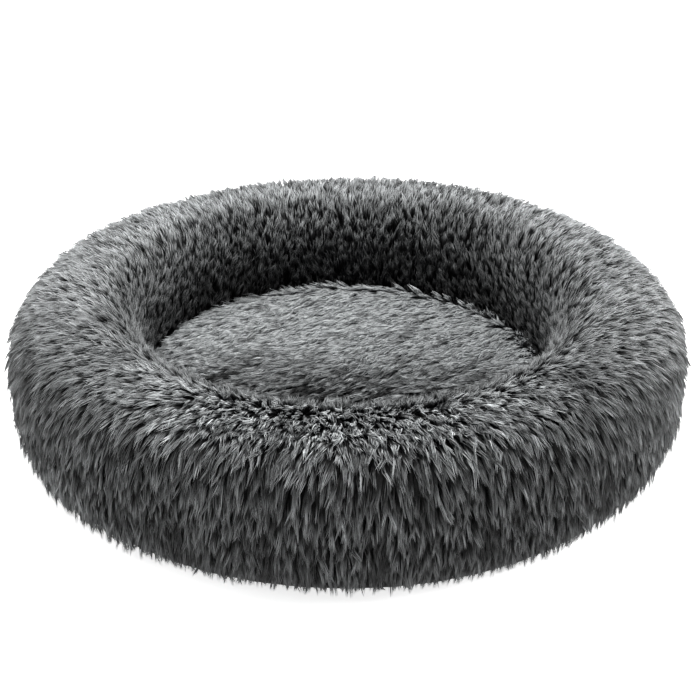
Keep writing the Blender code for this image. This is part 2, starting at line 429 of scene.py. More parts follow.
def strand_mesh(name, points, shade, frost_and_painted_light):
    """One mesh of many strands, with their growth and shade as point attributes."""
    count, each = points.shape[:2]
    mesh = bpy.data.meshes.new(name)
    mesh.vertices.add(count * each)
    mesh.vertices.foreach_set("co", points.astype(np.float32).ravel())
    corners = np.concatenate([np.array(face) for face in STRAND_FACES])
    sizes = np.array([len(face) for face in STRAND_FACES])
    starts = np.concatenate([[0], np.cumsum(sizes)[:-1]])
    base = np.arange(count)[:, None]
    mesh.loops.add(count * len(corners))
    mesh.loops.foreach_set("vertex_index", (corners[None] + base * each).ravel())
    mesh.polygons.add(count * len(sizes))
    mesh.polygons.foreach_set("loop_start", (starts[None] + base * len(corners)).ravel())
    mesh.update(calc_edges=True)
    grid = math.ceil(math.sqrt(count))
    inside = CELL_MARGIN + (1 - 2 * CELL_MARGIN) * np.stack(
        [STRAND_POINTS[corners, 0] + 0.5, STRAND_POINTS[corners, 2]], -1)
    cell = np.stack([np.arange(count) % grid, np.arange(count) // grid], -1)
    uv = (cell[:, None] + inside[None]) / grid
    layer = mesh.uv_layers.new(name=PILE_MAP)
    layer.data.foreach_set("uv", uv.astype(np.float32).ravel())
    growth = STRAND_POINTS[None, :, 2] ** (1 / frost_and_painted_light[:, None])
    for key, values in (("along", growth.ravel()),
                        ("shade", np.repeat(shade, each))):
        attribute = mesh.attributes.new(key, "FLOAT", "POINT")
        attribute.data.foreach_set("value", values.astype(np.float32))
    mesh.shade_smooth()
    mesh.validate()
    return mesh


def add_piece(name, mesh, look, body, stands_for=None):
    """Show a mesh as a piece on a body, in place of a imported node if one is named."""
    mesh.materials.clear()
    mesh.materials.append(look.material)
    piece = bpy.data.objects.new(name, mesh)
    bpy.context.scene.collection.objects.link(piece)
    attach(piece, body)
    if stands_for:
        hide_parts(stands_for)
    return piece


# %% [markdown]
# ## The pile's colour
# The plush is dyed charcoal and tipped: the strands are nearly black at the backing and
# turn silver grey at their tips, and that near black low in the pile is partly painted shade.
# Each strand knows how far along it a point is, and each lock has its own shade, so the
# gradient follows the fibre. Painted light and shade by place are added on top: the lit
# crest lighter, the sides, the inner wall and the valleys darker, and the seat lighter still.

# %% Pile materials


def pile_look(name, root, middle, tip, gloss):
    look = Look(name)
    along = look.attribute("along")
    shade = look.attribute("shade")
    colour = look.ramp(along, [(0.0, tint(root)), (0.5, tint(middle)), (1.0, tint(tip))])
    cloud = look.noise(9.0, 2.0)
    # The shade attribute is each strand's random tone times painted light and shade.
    colour = look.scaled(colour, shade * (0.82 + 0.36 * cloud))
    look.set(Base_Color=colour, Roughness=0.66 - 0.14 * along)
    look.set(Specular_IOR_Level=gloss)
    return look


# One plush on the ring and the seat: the seat's far lighter ramp is painted light.
rim_pile_look = pile_look("rim_pile", 0.0025, 0.022, 0.40, 0.32)
seat_pile_painted_lit_look = pile_look("seat_pile", 0.012, 0.17, 0.46, 0.25)

# %% [markdown]
# ## The backing
# Between the strands the eye falls on the dark knitted backing and the short fibres at
# the roots. It is a turned skin just under the firm surface.

# %% Skins of the ring and the seat
ROOT_DEPTH = 0.005
RING_TURN_LOW = math.radians(-66)
RING_TURN_HIGH = math.radians(180 + 66)


def turned_skin(name, outline, steps, closed=False):
    """Spin an outline of (radius, height) points around Z."""
    bm = bmesh.new()
    verts = [bm.verts.new((r, 0.0, z)) for r, z in outline]
    edges = [bm.edges.new((verts[i - 1], verts[i])) for i in range(1, len(verts))]
    if closed:
        edges.append(bm.edges.new((verts[-1], verts[0])))
    bmesh.ops.spin(bm, geom=verts + edges, axis=(0, 0, 1), cent=(0, 0, 0),
                   angle=math.tau, steps=steps, use_merge=True, use_duplicate=False)
    bmesh.ops.remove_doubles(bm, verts=bm.verts, dist=1e-6)
    bmesh.ops.recalc_face_normals(bm, faces=bm.faces)
    return finished(bm, name, True)


def backing_look(name, level):
    look = Look(name)
    fuzz = look.noise(420.0, 3.0, 0.7)
    look.set(Base_Color=look.ramp(fuzz, [(0.3, tint(level * 0.5)), (0.8, tint(level * 1.6))]),
             Roughness=0.95, Normal=look.bump(fuzz, 0.8, 0.002))
    look.set(Specular_IOR_Level=0.1)
    return look


def ring_skin():
    turns = np.linspace(RING_TURN_LOW, RING_TURN_HIGH, 40)
    place, _, _ = ring_surface(turns, np.zeros_like(turns), ROOT_DEPTH)
    mesh = turned_skin("rim_skin", [(p[0], max(p[2], 0.0035)) for p in place], 160, True)
    co = np.empty(len(mesh.vertices) * 3)
    mesh.vertices.foreach_get("co", co)
    co = co.reshape(-1, 3)
    around = np.arctan2(co[:, 1], co[:, 0])
    radius = np.hypot(co[:, 0], co[:, 1])
    start = swell(np.zeros(1))[0]
    fuller = swell(around) / start
    half = (radius - RING_CREST) * fuller
    co[:, 0] = (RING_CREST + half) * np.cos(around)
    co[:, 1] = (RING_CREST + half) * np.sin(around)
    high = co[:, 2] > RING_WIDEST
    lifted = (0.75 + 0.25 * swell(around)) / (0.75 + 0.25 * start)
    co[high, 2] = RING_WIDEST + (co[high, 2] - RING_WIDEST) * lifted[high]
    mesh.vertices.foreach_set("co", co.ravel())
    mesh.update()
    return mesh


rim_backing = backing_look("rim_backing", 0.006)
seat_backing = backing_look("seat_backing", 0.010)
rim_skin = add_piece("rim_skin", ring_skin(), rim_backing, "bed", "rim_cover")

SEAT_EDGE = 0.2135
SEAT_CORNER = 0.014
SEAT_CROWN = 0.006
SEAT_FLOOR = seat_low.z


def seat_top(radius):
    """The seat's firm surface: crowned, and rolled over at its edge."""
    crown = SEAT_TOP - SEAT_CROWN * (radius / SEAT_EDGE) ** 2
    past = np.clip(radius - (SEAT_EDGE - SEAT_CORNER), 0, SEAT_CORNER)
    return crown - (SEAT_CORNER - np.sqrt(SEAT_CORNER ** 2 - past ** 2))


def seat_skin():
    round_off = SEAT_CORNER * (1 - np.sin(np.radians([20, 45, 70, 88])))
    radii = np.concatenate([np.linspace(0, 0.198, 12), SEAT_EDGE - round_off])
    points = [(r, seat_top(r) - ROOT_DEPTH) for r in radii]
    points += [(SEAT_EDGE, SEAT_FLOOR), (0.0, SEAT_FLOOR)]
    return turned_skin("seat_skin", points, 96)


seat_skin_piece = add_piece("seat_skin", seat_skin(), seat_backing, "bed",
                            "seat_cover")

# %% [markdown]
# ## Planting the ring
# Locks stand in jittered rows, so that there are no bald spots and no visible grid. The
# nap runs from the seat seam up the inner wall, over the crest and down the outer side.
# Slow waves and a random sway for each lock keep it from looking combed.

# %% Lay out the locks of the ring
random = np.random.default_rng(7)
LOCK_SPACING = 0.0058
ROW_SPACING = 0.0052
STRANDS_PER_LOCK = 7
NAP_START = math.radians(214)
NAP_END = math.radians(-64)


def waves(around, along, seeds):
    """A slow, smooth, repeatable wave field from minus one to one."""
    total = 0
    for turns, rows, shift in seeds:
        total = total + np.sin(turns * around + rows * along + shift)
    return total / len(seeds)


def ring_locks():
    """The turn and bearing of every lock on the ring, about evenly spread."""
    table = np.linspace(NAP_END, NAP_START, 800)
    place, _, _ = ring_surface(table, np.zeros_like(table), ROOT_DEPTH)
    run = np.concatenate([[0], np.cumsum(np.linalg.norm(np.diff(place, axis=0), axis=1))])
    turns, bearings = [], []
    for row in range(int(run[-1] / ROW_SPACING)):
        at = (row + 0.5) * ROW_SPACING
        radius = np.interp(at, run, np.hypot(place[:, 0], place[:, 1]))
        count = int(math.tau * radius / LOCK_SPACING)
        spot = (np.arange(count) + 0.5 * (row % 2)
                + random.uniform(-0.42, 0.42, count)) / count
        jitter = random.uniform(-0.45, 0.45, count) * ROW_SPACING
        turns.append(np.interp(at + jitter, run, table))
        bearings.append(spot * math.tau - math.pi)
    return np.concatenate(turns), np.concatenate(bearings)


# %% Valleys between groups of locks


def smooth_step(value, low, high):
    share = np.clip((value - low) / (high - low), 0, 1)
    return share * share * (3 - 2 * share)


def blotches(across, along, size):
    """Smooth random values from 0 to 1 over a plane, as large as one step of the inputs."""
    table = random.uniform(0, 1, size)
    column, row = np.floor(across).astype(int), np.floor(along).astype(int)
    right, up = smooth_step(across - column, 0, 1), smooth_step(along - row, 0, 1)
    corner = [table[(column + i) % size[0], (row + j) % size[1]]
              for i, j in ((0, 0), (1, 0), (0, 1), (1, 1))]
    low = corner[0] * (1 - right) + corner[1] * right
    high = corner[2] * (1 - right) + corner[3] * right
    return low * (1 - up) + high * up


VALLEY_WIDTH = 0.0075
VALLEY_LENGTH = 0.024


def ring_valleys(turn, around):
    """How deep a lock lies in one of the valleys that run along the nap; locks there lie lower
    and are painted darker as shade.
    """
    size = (int(math.tau * RING_CREST / VALLEY_WIDTH), 18)
    lean_over = 0.05 * np.sin(4 * around + 1.0) * turn
    across = (around + lean_over) / math.tau * size[0]
    along = turn * 0.075 / VALLEY_LENGTH + 9
    return smooth_step(blotches(across, along, size), 0.56, 0.80)


# %% How the ring's pile lies


def ring_zones(turn):
    """Shares of outer side, crest and inner wall at a turn around the tube."""
    side = 1 - smooth_step(turn, math.radians(22), math.radians(72))
    inner = smooth_step(turn, math.radians(100), math.radians(152))
    return side, 1 - side - inner, inner


def ring_habit(turn, around):
    """Everything that changes from place to place in the way the pile lies, and the light and
    shade painted into its colour.
    """
    side, crest, inner = ring_zones(turn)
    low = 1 - smooth_step(turn, math.radians(-55), math.radians(-12))
    deep_shade_zone = smooth_step(turn, math.radians(160), math.radians(202))
    front = smooth_step(-np.sin(around), 0.55, 0.95)
    shoulder = np.exp(-((turn - math.radians(52)) / math.radians(22)) ** 2)
    valley = ring_valleys(turn, around)
    shaded = 1 - smooth_step(turn, math.radians(40), math.radians(84))
    lit_zone = 1 - shaded - inner
    lift = 20 * side + 29 * crest + 24 * inner - 4 * shoulder + 20 * low - 4 * valley
    length = 0.029 * side + 0.028 * crest + 0.027 * inner
    wave = waves(around, turn, [(5, 1.5, 0.3), (-8, 2.0, 1.9), (13, 3.0, 4.1)])
    return {
        "lift": np.radians(lift),
        "length": length * (1 - 0.30 * low),
        "droop": 0.17 * side + 0.06 * crest + 0.26 * shoulder,
        "sway": np.radians(9 + 7 * crest * (1 - shoulder)) * wave,
        # This sets where each strand turns from dark to silver: sooner on the crest and more at
        # its front as painted light, later on the inner wall as painted shade.
        "frost_and_painted_light": 1.00 * side + (1.12 + 0.16 * front) * crest + 0.95 * inner,
        # Painted light and shade: dim on the outer side and darker low on it, bright on the
        # crest and brighter at its front and on its left, dim on the inner wall and darker deep
        # down it, and darker in the valleys.
        "painted_light_and_shade": ((0.31 - 0.05 * low) * shaded
                 + (1.10 + 0.36 * front - 0.20 * np.cos(around)) * lit_zone
                 + (0.36 - 0.26 * deep_shade_zone) * inner) * (1.12 - (0.24 + 0.50 * side) * valley),
        "even": 1 + 0.35 * shaded - 0.60 * lit_zone * (1 - front) - 0.50 * inner,
        "cling": 0.98 * side + (0.38 + 0.24 * front) * crest + 0.55 * inner,
        "frizz": 0.45 * side + 1.0 * crest * (1 - 0.5 * shoulder) + 0.7 * inner,
    }


# %% Give every lock and strand its own character
WAVER = 0.0009


def wavering(count, lock, frizz):
    """Small sideways steps at each strand's bend and tip, shared in part by its lock."""
    rings = len(STRAND_LEVELS) - 1
    shared = random.normal(0, WAVER, (count, rings, 3))[lock]
    own = np.clip(random.normal(0, WAVER, (len(lock), rings, 3)), -2 * WAVER, 2 * WAVER)
    return shared + own * frizz[lock][:, None, None]


def lock_shades(count, total, lock):
    shade = random.lognormal(0, 0.34, count)[lock] * random.lognormal(0, 0.32, total)
    return np.clip(shade, 0.25, 2.6)


def bundle(locks, flow, side, normal, habit, per_lock, spread):
    """Strands for every lock: roots around the lock's own, with a little disorder."""
    count = len(locks["root"])
    lock = np.repeat(np.arange(count), per_lock)
    total = len(lock)
    size = random.uniform(0.75, 1.15, count)[lock] * spread
    ring_at = np.sqrt(random.uniform(0, 1, total)) * size
    bearing = random.uniform(0, math.tau, total)
    root = (locks["root"][lock] + flow[lock] * (ring_at * np.cos(bearing))[:, None]
            + side[lock] * (ring_at * np.sin(bearing))[:, None])
    lift = habit["lift"][lock] + np.radians(random.normal(0, 4, total))
    sway = habit["sway"][lock] + np.radians(random.normal(0, 5, total))
    return {
        "root": root, "normal": normal[lock], "lock": lock,
        "lean": leaning(normal[lock], flow[lock], lift, sway),
        "bend": locks["bend"][lock] + random.normal(0, 0.035, (total, 3)),
        "length": locks["length"][lock] * random.uniform(0.76, 1.10, total),
        "width": random.uniform(0.80, 1.30, total) * 1e-3,
        "cling": random.uniform(0.35, 1.0, total) ** 0.4 * habit["cling"][lock],
        "waver": wavering(count, lock, habit["frizz"]),
        # Each strand's shade is random tone times the painted light and shade of its lock's
        # place; its frost carries that place's painted light, varied a little.
        "shade": lock_shades(count, total, lock) * habit["painted_light_and_shade"][lock],
        "frost_and_painted_light": habit["frost_and_painted_light"][lock] * random.uniform(0.88, 1.12, total),
    }


def even_out(strands, habit):
    """Bring the strands' shades closer together where the pile looks even."""
    painted_light_and_shade = habit["painted_light_and_shade"][strands["lock"]]
    strands["shade"] = painted_light_and_shade * (strands["shade"] / painted_light_and_shade) ** habit["even"][strands["lock"]]


# %% Grow the ring's pile


def ring_pile():
    turn, around = ring_locks()
    place, normal, flow = ring_surface(turn, around, ROOT_DEPTH)
    habit = ring_habit(turn, around)
    count = len(turn)
    habit["lift"] = habit["lift"] + np.radians(np.clip(random.normal(0, 6, count), -14, 7))
    habit["sway"] = habit["sway"] + np.radians(random.normal(0, 7, count))
    side = np.cross(normal, flow)
    curl = random.normal(0, 0.10, count)
    bend = -0.12 * normal + curl[:, None] * side
    bend[:, 2] -= habit["droop"]
    length = habit["length"] * random.uniform(0.82, 1.12, count)
    locks = {"root": place, "bend": bend, "length": length,
             "lean": leaning(normal, flow, habit["lift"], habit["sway"])}
    strands = bundle(locks, flow, side, normal, habit, STRANDS_PER_LOCK, LOCK_SPACING * 0.62)
    even_out(strands, habit)
    return locks, strands, around[strands["lock"]]


LOWEST_STRAND = 0.0012
HIGHEST_STRAND = RING_HEIGHT + 0.0134


def within_reach(points, spine):
    """Strands that reach the floor lie down on it, and none stands up like a spike."""
    points[..., 2] += np.maximum(LOWEST_STRAND - spine[..., 2], 0)
    points[..., 2] = np.maximum(points[..., 2], 0.0003)
    points[..., 2] -= np.maximum(spine[..., 2] - HIGHEST_STRAND, 0)
    return points


def plant_ring(sectors):
    locks, strands, around = ring_pile()
    points, spine = grow(locks, strands, 0.92)
    points = within_reach(points, spine)
    sector = np.floor((around + math.pi) / math.tau * sectors).astype(int) % sectors
    for index in range(sectors):
        chosen = sector == index
        name = f"rim_pile_{index + 1}"
        mesh = strand_mesh(name, points[chosen], strands["shade"][chosen],
                           strands["frost_and_painted_light"][chosen])
        add_piece(name, mesh, rim_pile_look, "bed")
    print("ring pile:", len(points), "strands,", len(points) * STRAND_TRIANGLES, "triangles")


plant_ring(10)

# %% [markdown]
# ## Planting the seat
# The seat's pile is the same plush, brushed flat in one direction by hand or by a sleeping
# animal. Where it meets the ring it turns up along the wall. Its colours are lighter than
# the ring's as painted light, with painted shade on its ruffled front and in its flecks.

# %% Lay out the seat's locks
SEAT_NAP = Vector((-0.64, -0.77, 0.0)).normalized()
SEAT_REACH = 0.209
SEAT_STRANDS_PER_LOCK = 9
NEST_WALL = 0.2085


def seat_locks():
    across = np.arange(-SEAT_REACH, SEAT_REACH, LOCK_SPACING)
    x, y = np.meshgrid(across, across)
    x = x + 0.5 * LOCK_SPACING * (np.arange(len(across)) % 2)[:, None]
    x = x + random.uniform(-0.45, 0.45, x.shape) * LOCK_SPACING
    y = y + random.uniform(-0.45, 0.45, y.shape) * LOCK_SPACING
    keep = np.hypot(x, y) < SEAT_REACH
    return x[keep], y[keep]


def seat_surface(x, y):
    radius = np.hypot(x, y)
    step = 1e-4
    slope = (seat_top(radius + step) - seat_top(np.maximum(radius - step, 0))) / (2 * step)
    slope = np.clip(slope, -1.0, 0.0)
    cos, sin = x / np.maximum(radius, 1e-6), y / np.maximum(radius, 1e-6)
    normal = unit(np.stack([-slope * cos, -slope * sin, np.ones_like(x)], -1))
    place = np.stack([x, y, seat_top(radius) - ROOT_DEPTH], -1)
    return place, normal


# %% Grow the seat's pile


def seat_valleys(x, y):
    """Short flecks along the nap, where locks lie lower and are painted darker as shade: more
    and longer where the seat is ruffled.
    """
    across = (x * SEAT_NAP.y - y * SEAT_NAP.x) / 0.0062 + 200
    along = (x * SEAT_NAP.x + y * SEAT_NAP.y) / 0.030 + 40
    return blotches(across, along, (160, 60))


def seat_pile():
    x, y = seat_locks()
    place, normal = seat_surface(x, y)
    count = len(x)
    ruffled = 1 - smooth_step(y + 0.10 * x, -0.035, 0.065)
    fleck = seat_valleys(x, y)
    valley = (0.7 * smooth_step(fleck, 0.72, 0.88) * (1 - ruffled)
              + smooth_step(fleck, 0.50, 0.72) * ruffled)
    edge = smooth_step(np.hypot(x, y), 0.175, 0.207)
    drift = np.radians(8) * (np.sin(31 * x + 13 * y + 0.5) + np.sin(-17 * x + 41 * y + 2.2)) / 2
    flow = np.broadcast_to(np.array(SEAT_NAP), place.shape)
    flow = unit(flow - (flow * normal).sum(-1, keepdims=True) * normal)
    side = np.cross(normal, flow)
    habit = {
        "lift": np.radians(9 + 7 * ruffled + 5 * edge - 4 * valley
                           + random.normal(0, 3, count)),
        "sway": drift + np.radians(random.normal(0, 6, count)),
        # These colour settings paint light and shade: the seat lighter than the ring, its
        # ruffled front and its edge by the wall darker, and its flecks darker still.
        "frost_and_painted_light": 1.30 - 0.72 * ruffled - 0.15 * edge,
        "painted_light_and_shade": (1.34 - 0.50 * ruffled) * (1 - 0.90 * valley),
        "even": 0.18 + 0.82 * ruffled,
        "cling": 0.45 + 0.52 * ruffled,
        "frizz": 0.70 - 0.2 * ruffled,
    }
    bend = -0.05 * normal + random.normal(0, 0.07, count)[:, None] * side
    locks = {"root": place, "bend": bend, "length": 0.027 * random.uniform(0.85, 1.12, count),
             "lean": leaning(normal, flow, habit["lift"], habit["sway"])}
    strands = bundle(locks, flow, side, normal, habit, SEAT_STRANDS_PER_LOCK,
                     LOCK_SPACING * 0.75)
    even_out(strands, habit)
    return locks, strands


def inside_nest(points, spine):
    """Strands that would run into the ring's wall turn up along it."""
    radius = np.hypot(spine[..., 0], spine[..., 1])
    past = np.maximum(radius - NEST_WALL, 0)
    pull = past / np.maximum(radius, 1e-6)
    points[..., 0] -= spine[..., 0] * pull
    points[..., 1] -= spine[..., 1] * pull
    points[..., 2] += past * 0.7
    return points


def plant_seat():
    locks, strands = seat_pile()
    points, spine = grow(locks, strands, 0.85)
    points = inside_nest(points, spine)
    back = strands["root"][:, 1] >= 0
    for name, chosen in (("seat_pile_front", ~back), ("seat_pile_back", back)):
        mesh = strand_mesh(name, points[chosen], strands["shade"][chosen],
                           strands["frost_and_painted_light"][chosen])
        add_piece(name, mesh, seat_pile_painted_lit_look, "bed")
        print(name, int(chosen.sum()), "strands,", len(mesh.polygons), "faces")


plant_seat()

# %% [markdown]
# ## The base cloth
# Underneath, the bed is closed with a hard-wearing plain weave with small rubbery dots
# that keep it from sliding. The outer cloth lies flat on the floor under the ring, and
# then rises to a middle that the ring holds clear of the floor. The cloth is turned and cut
# from flat shapes, and one dot is modelled and then copied.

# %% Cloth finishes
BASE_WEAVE = 0.0011


def woven_look(name, level, pitch, depth=0.0003, sheen=0.08):
    """A plain weave on Object coordinates: warp over weft in turns."""
    look = Look(name)
    x, y, _ = look.axes()
    over = (x * (math.tau / pitch)).sin() * (y * (math.tau / pitch)).sin()
    grain = look.noise(900.0, 2.0, 0.6)
    worn = look.noise(14.0, 3.0, 0.6)
    height = 0.5 + 0.4 * over + 0.2 * grain
    colour = look.ramp(height, [(0.1, tint(level * 0.45)), (0.9, tint(level * 1.7))])
    colour = look.scaled(colour, 0.75 + 0.5 * worn)
    look.set(Base_Color=colour, Roughness=0.92 - 0.15 * height,
             Normal=look.bump(height, 0.7, depth))
    look.set(Specular_IOR_Level=0.3, Sheen_Weight=sheen, Sheen_Roughness=0.5)
    return look


base_cloth_look = woven_look("base_cloth_weave", 0.05, BASE_WEAVE)


def dot_look():
    look = Look("grip_dots")
    grain = look.noise(1500.0, 2.0)
    look.set(Base_Color=look.ramp(grain, [(0.2, tint(0.012)), (0.8, tint(0.026))]),
             Roughness=0.50 + 0.2 * grain, Normal=look.bump(grain, 0.3, 0.0001))
    return look


grip_dot_look = dot_look()

# %% Turn the outer cloth
CLOTH_THICK = 0.0018
DOT_HEIGHT = 0.0006
FOOT_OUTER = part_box("foot_panel")[1].x
FOOT_RISE_START = 0.224
MIDDLE_EDGE = 0.203
MIDDLE_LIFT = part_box("middle_panel_back")[0].z
CLOTH_STEPS = 128


def foot_cloth():
    low = DOT_HEIGHT
    radii = np.linspace(FOOT_OUTER, FOOT_RISE_START, 5)
    lower = [(r, low) for r in radii] + [(MIDDLE_EDGE, MIDDLE_LIFT)]
    upper = [(r, z + CLOTH_THICK) for r, z in lower]
    return turned_skin("foot_cloth", lower + upper[::-1], CLOTH_STEPS, True)


foot_piece = add_piece("foot_cloth", foot_cloth(), base_cloth_look, "bed",
                       "foot_panel")

# %% Cut the two middle panels
ZIP_HALF = 0.172
SLOT_LENGTH_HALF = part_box("zip_top_stop_back")[1].x + 0.001
SLOT_WIDTH_HALF = 0.006
PANEL_CUTS = 26


def middle_sag(x, y):
    """Slack in the middle cloth: soft folds that die out at the zip and at the edge."""
    radius = np.hypot(x, y) / MIDDLE_EDGE
    calm = smooth_step(np.abs(y), 0.022, 0.07) * (1 - smooth_step(radius, 0.75, 0.97))
    folds = np.sin(38 * x + 22 * y + 0.6) + np.sin(-26 * x + 47 * y) + np.sin(61 * x - 9 * y)
    return 0.0006 * calm * folds


def middle_cloth(name, side):
    bm = bmesh.new()
    bmesh.ops.create_grid(bm, x_segments=PANEL_CUTS * 2, y_segments=PANEL_CUTS * 2,
                          size=MIDDLE_EDGE)
    edge = MIDDLE_EDGE * math.cos(math.pi / CLOTH_STEPS) - 0.0001
    for step in range(CLOTH_STEPS):
        angle = math.tau * (step + 0.5) / CLOTH_STEPS
        out = Vector((math.cos(angle), math.sin(angle), 0))
        bmesh.ops.bisect_plane(bm, geom=bm.verts[:] + bm.edges[:] + bm.faces[:],
                               plane_co=out * edge, plane_no=out, clear_outer=True)
    cuts = [((0, side * 0.00015, 0), (0, side, 0), True),
            ((0, side * SLOT_WIDTH_HALF, 0), (0, 1, 0), False),
            ((SLOT_LENGTH_HALF, 0, 0), (1, 0, 0), False),
            ((-SLOT_LENGTH_HALF, 0, 0), (1, 0, 0), False)]
    for place, normal, drop in cuts:
        bmesh.ops.bisect_plane(bm, geom=bm.verts[:] + bm.edges[:] + bm.faces[:], dist=1e-6,
                               plane_co=place, plane_no=normal, clear_inner=drop)
    slot = [f for f in bm.faces if abs(f.calc_center_median().x) < SLOT_LENGTH_HALF
            and abs(f.calc_center_median().y) < SLOT_WIDTH_HALF]
    bmesh.ops.delete(bm, geom=slot, context="FACES")
    bmesh.ops.remove_doubles(bm, verts=bm.verts, dist=2e-5)
    grown = bmesh.ops.extrude_face_region(bm, geom=bm.faces[:])
    top = [item for item in grown["geom"] if isinstance(item, bmesh.types.BMVert)]
    bmesh.ops.translate(bm, verts=top, vec=(0, 0, CLOTH_THICK))
    bmesh.ops.translate(bm, verts=bm.verts, vec=(0, 0, MIDDLE_LIFT))
    bmesh.ops.recalc_face_normals(bm, faces=bm.faces)
    for vert in bm.verts:
        vert.co.z += float(middle_sag(vert.co.x, vert.co.y))
    return finished(bm, name)


for name, side in (("front", -1), ("back", 1)):
    piece = add_piece("middle_cloth_" + name, middle_cloth("middle_cloth_" + name, side),
                      base_cloth_look, "bed", "middle_panel_" + name)

# %% Print the grip dots
DOT_SPACING = 0.0125
DOT_ROW_SPACING = DOT_SPACING * 0.87
DOT_RADIUS = 0.0021
DOT_SUNK = 0.0003
CLEAR_OF_ZIP = 0.024
CLEAR_OF_LABEL = 0.007
LABEL_LOW, LABEL_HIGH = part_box("care_label")


def one_dot(bm, place):
    made = bmesh.ops.create_cone(bm, cap_ends=True, cap_tris=False, segments=8,
                                 radius1=DOT_RADIUS, radius2=DOT_RADIUS * 0.6,
                                 depth=DOT_HEIGHT + DOT_SUNK)
    bmesh.ops.rotate(bm, verts=made["verts"], cent=(0, 0, 0),
                     matrix=Matrix.Rotation(math.pi, 3, "X"))
    bmesh.ops.translate(bm, verts=made["verts"], vec=place)


def dot_places():
    rows = int(2 * FOOT_OUTER / DOT_ROW_SPACING)
    columns = int(2 * FOOT_OUTER / DOT_SPACING)
    for row in range(rows):
        y = (row - rows / 2 + 0.5) * DOT_ROW_SPACING
        for column in range(columns):
            x = (column - columns / 2 + 0.5 * (row % 2)) * DOT_SPACING
            yield x, y, math.hypot(x, y)


def grip_dots(name, low, high, level):
    bm = bmesh.new()
    count = 0
    for x, y, radius in dot_places():
        if not low < radius < high or abs(y) < CLEAR_OF_ZIP and radius < MIDDLE_EDGE:
            continue
        if (LABEL_LOW.x < x + CLEAR_OF_LABEL and x - CLEAR_OF_LABEL < LABEL_HIGH.x
                and LABEL_LOW.y < y + CLEAR_OF_LABEL and y - CLEAR_OF_LABEL < LABEL_HIGH.y):
            continue
        sag = float(middle_sag(x, y)) if radius < MIDDLE_EDGE else 0.0
        one_dot(bm, (x, y, level + (DOT_SUNK - DOT_HEIGHT) / 2 + sag))
        count += 1
    print(name, count, "dots")
    return finished(bm, name)


add_piece("grip_dots_foot", grip_dots("grip_dots_foot", 0.229, 0.313, DOT_HEIGHT),
          grip_dot_look, "bed")
add_piece("grip_dots_middle", grip_dots("grip_dots_middle", 0.0, 0.196, MIDDLE_LIFT),
          grip_dot_look, "bed")

# %% [markdown]
# ## The zip
# A coil zip lets the cover come off. Each tape is a flat woven ribbon, and each coil is a
# row of small loops with a swollen head that hooks into the other side. One tooth is
# modelled, and its copies are set along the tape at the coil's pitch.

# %% Zip finishes
tape_look = woven_look("zip_tape_weave", 0.035, 0.0008, 0.0002, 0.0)


def coil_finish():
    look = Look("zip_coil_nylon")
    grain = look.noise(700.0, 2.0)
    look.set(Base_Color=look.ramp(grain, [(0.2, tint(0.022)), (0.8, tint(0.045))]),
             Roughness=0.32 + 0.15 * grain)
    return look


def metal_finish():
    """Dark paint on zinc, rubbed thin in places."""
    look = Look("zip_metal_paint")
    rub = look.noise(260.0, 4.0, 0.6)
    look.set(Base_Color=look.ramp(rub, [(0.35, tint(0.035)), (0.75, tint(0.10))]),
             Roughness=0.28 + 0.25 * rub, Metallic=0.35 + 0.5 * rub,
             Normal=look.bump(look.noise(900.0), 0.15, 0.0001))
    look.set(Coat_Weight=0.4, Coat_Roughness=0.2)
    return look


coil_look = coil_finish()
metal_look = metal_finish()

# %% Weave the tapes and set the teeth
TOOTH_PITCH = 0.0015
TOOTH_HEAD = 0.00055


def edges_of(bm, verts):
    """The edges between these vertices, in the same order on every run."""
    chosen = set(verts)
    return [e for e in bm.edges if e.verts[0] in chosen and e.verts[1] in chosen]


def edged_box(bm, low, high, rounding, segments=2):
    """A block between two corners with its edges rounded."""
    verts = bmesh.ops.create_cube(bm, size=1.0)["verts"]
    low, high = Vector(low), Vector(high)
    bmesh.ops.scale(bm, verts=verts, vec=high - low)
    bmesh.ops.translate(bm, verts=verts, vec=(high + low) / 2)
    bmesh.ops.bevel(bm, geom=edges_of(bm, verts), offset=rounding, segments=segments,
                    profile=0.5, affect="EDGES", material=-1)


def mesh_from(bm, name, smooth=True):
    bmesh.ops.recalc_face_normals(bm, faces=bm.faces)
    return finished(bm, name, smooth)


def tape_mesh(name, side):
    """A ribbon with the rounded cord that the coil is sewn over."""
    low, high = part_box("zip_tape_" + name)
    bm = bmesh.new()
    edged_box(bm, low, high, 0.0002, 1)
    cord_y = side * (min(abs(low.y), abs(high.y)) + 0.0006)
    made = bmesh.ops.create_cone(bm, cap_ends=True, segments=8, radius1=0.0006,
                                 radius2=0.0006, depth=2 * ZIP_HALF)
    bmesh.ops.rotate(bm, verts=made["verts"], cent=(0, 0, 0),
                     matrix=Matrix.Rotation(math.pi / 2, 3, "Y"))
    bmesh.ops.translate(bm, verts=made["verts"], vec=(0, cord_y, (low.z + high.z) / 2))
    return mesh_from(bm, "zip_ribbon_" + name, False)


